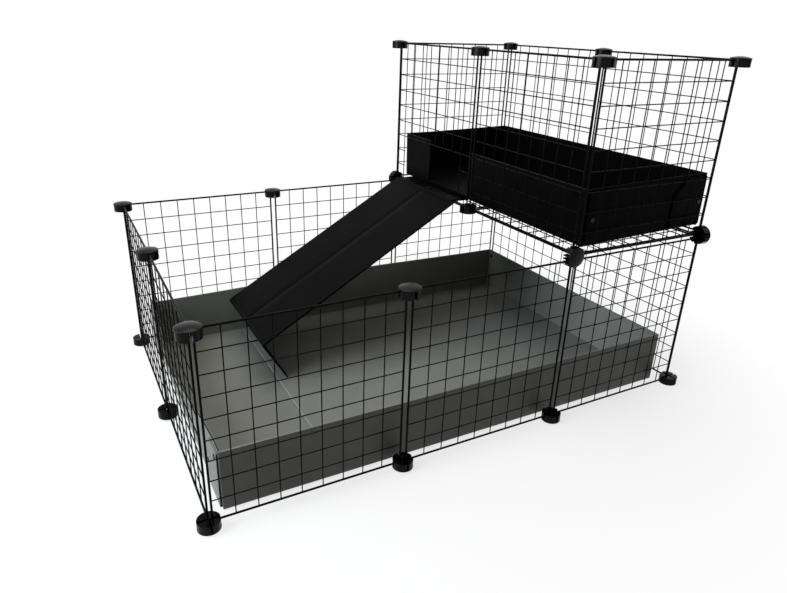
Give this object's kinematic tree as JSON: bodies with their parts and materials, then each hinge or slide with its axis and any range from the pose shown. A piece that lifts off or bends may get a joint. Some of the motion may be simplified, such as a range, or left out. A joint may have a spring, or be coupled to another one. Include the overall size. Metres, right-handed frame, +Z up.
{
  "type": "modular pet cage",
  "caption": "Open-topped modular pet cage of clipped wire grid panels with a folded base tray, a raised loft with its own tray and a hinged ramp up to the loft's doorway.",
  "frame": {"origin": "on the floor, under the middle of the base", "axes": "+X along the front from left to right, +Y from the front to the back, +Z up"},
  "size_m": [1.1448, 0.7768, 0.746],
  "materials": {
    "coated_wire": "black powder coat, low gloss",
    "connector_plastic": "moulded black, glossy",
    "grey_fluted_sheet": "grey twin-wall fluted sheet, matte",
    "black_fluted_sheet": "black twin-wall fluted sheet, satin",
    "fastener_plastic": "black nylon"
  },
  "bodies": {
    "cage": {"back_panel_left": "coated_wire", "back_panel_middle": "coated_wire", "back_panel_right": "coated_wire", "base_tray": "grey_fluted_sheet", "base_tray_rivets": "fastener_plastic", "foot_connector_back_left": "connector_plastic", "foot_connector_back_mid_left": "connector_plastic", "foot_connector_back_mid_right": "connector_plastic", "foot_connector_back_right": "connector_plastic", "foot_connector_centre_left": "connector_plastic", "foot_connector_centre_right": "connector_plastic", "foot_connector_front_left": "connector_plastic", "foot_connector_front_mid_left": "connector_plastic", "foot_connector_front_mid_right": "connector_plastic", "foot_connector_front_right": "connector_plastic", "front_panel_left": "coated_wire", "front_panel_middle": "coated_wire", "front_panel_right": "coated_wire", "left_panel_back": "coated_wire", "left_panel_front": "coated_wire", "loft_back_panel": "coated_wire", "loft_doorway_panel": "coated_wire", "loft_floor_panel_back": "coated_wire", "loft_floor_panel_front": "coated_wire", "loft_front_panel": "coated_wire", "loft_left_panel": "coated_wire", "loft_right_panel_back": "coated_wire", "loft_right_panel_front": "coated_wire", "middle_connector_back_left": "connector_plastic", "middle_connector_back_mid_left": "connector_plastic", "middle_connector_back_mid_right": "connector_plastic", "middle_connector_back_right": "connector_plastic", "middle_connector_centre_left": "connector_plastic", "middle_connector_centre_mid_right": "connector_plastic", "middle_connector_centre_right": "connector_plastic", "middle_connector_front_left": "connector_plastic", "middle_connector_front_mid_left": "connector_plastic", "middle_connector_front_mid_right": "connector_plastic", "middle_connector_front_right": "connector_plastic", "ramp_hinge_flap": "black_fluted_sheet", "ramp_ties": "fastener_plastic", "right_panel_back": "coated_wire", "right_panel_front": "coated_wire", "top_connector_back_mid_right": "connector_plastic", "top_connector_back_right": "connector_plastic", "top_connector_centre_mid_right": "connector_plastic", "top_connector_centre_right": "connector_plastic", "top_connector_front_mid_right": "connector_plastic", "top_connector_front_right": "connector_plastic"},
    "loft_tray": {"loft_tray": "black_fluted_sheet", "loft_tray_rivets": "fastener_plastic"},
    "ramp": {"ramp": "black_fluted_sheet"}
  },
  "joints": [
    {"name": "ramp_swing", "type": "hinge", "parent": "cage", "child": "ramp", "pos_m": [0.17, 0.184, 0.38965], "axis": [0, 1, 0], "range_deg": [0, 121]},
    {"name": "loft_tray_lift", "type": "slide", "parent": "cage", "child": "loft_tray", "axis": [0, 0, 1], "range_m": [0, 0.2]}
  ]
}
